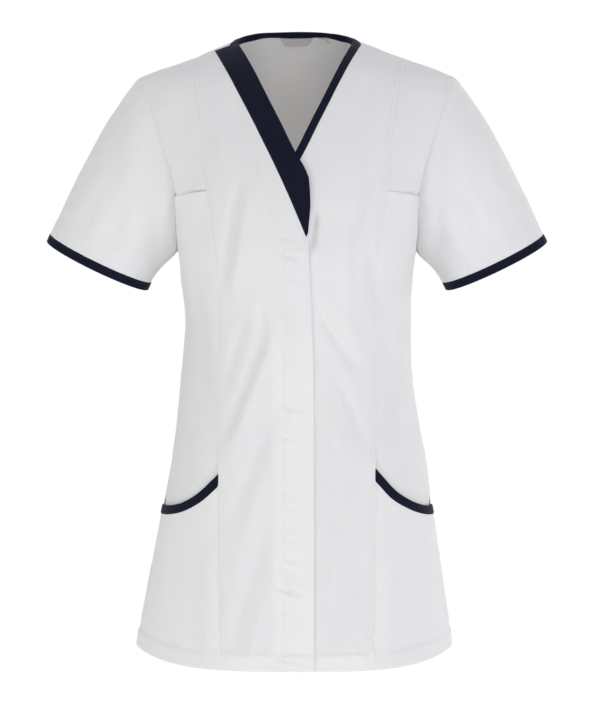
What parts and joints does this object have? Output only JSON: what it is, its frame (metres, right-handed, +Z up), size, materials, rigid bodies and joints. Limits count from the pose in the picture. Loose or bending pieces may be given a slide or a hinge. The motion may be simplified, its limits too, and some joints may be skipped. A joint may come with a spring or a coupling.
{
  "type": "work tunic",
  "caption": "Short-sleeved white work tunic with an overlapping V-neck front, navy neck, cuff and pocket trims, held open in its worn shape.",
  "frame": {"origin": "midway between the two neck points of the shoulder seams, where the tunic hangs on the wearer's shoulders", "axes": "+Z up, -Y out of the tunic's front, +X towards the wearer's left arm"},
  "size_m": [0.5992, 0.2556, 0.76],
  "materials": {
    "white_cloth": "fine plain-woven polyester and cotton cloth, matt white",
    "navy_trim": "dark navy binding and band cloth, matt",
    "label_cloth": "bare grey woven label",
    "tab_cloth": "bare white size tab"
  },
  "bodies": {
    "root": {"front_right": "white_cloth", "front_left": "white_cloth", "side_front_upper_right": "white_cloth", "side_front_upper_left": "white_cloth", "side_front_right": "white_cloth", "side_front_left": "white_cloth", "hip_pocket_right": "white_cloth", "hip_pocket_left": "white_cloth", "hip_pocket_trim_right": "navy_trim", "hip_pocket_trim_left": "navy_trim", "back": "white_cloth", "sleeve_right": "white_cloth", "sleeve_left": "white_cloth", "cuff_binding_right": "navy_trim", "cuff_binding_left": "navy_trim", "neck_band_right": "navy_trim", "neck_binding": "navy_trim", "neck_label": "label_cloth", "size_tab": "tab_cloth"}
  },
  "joints": []
}
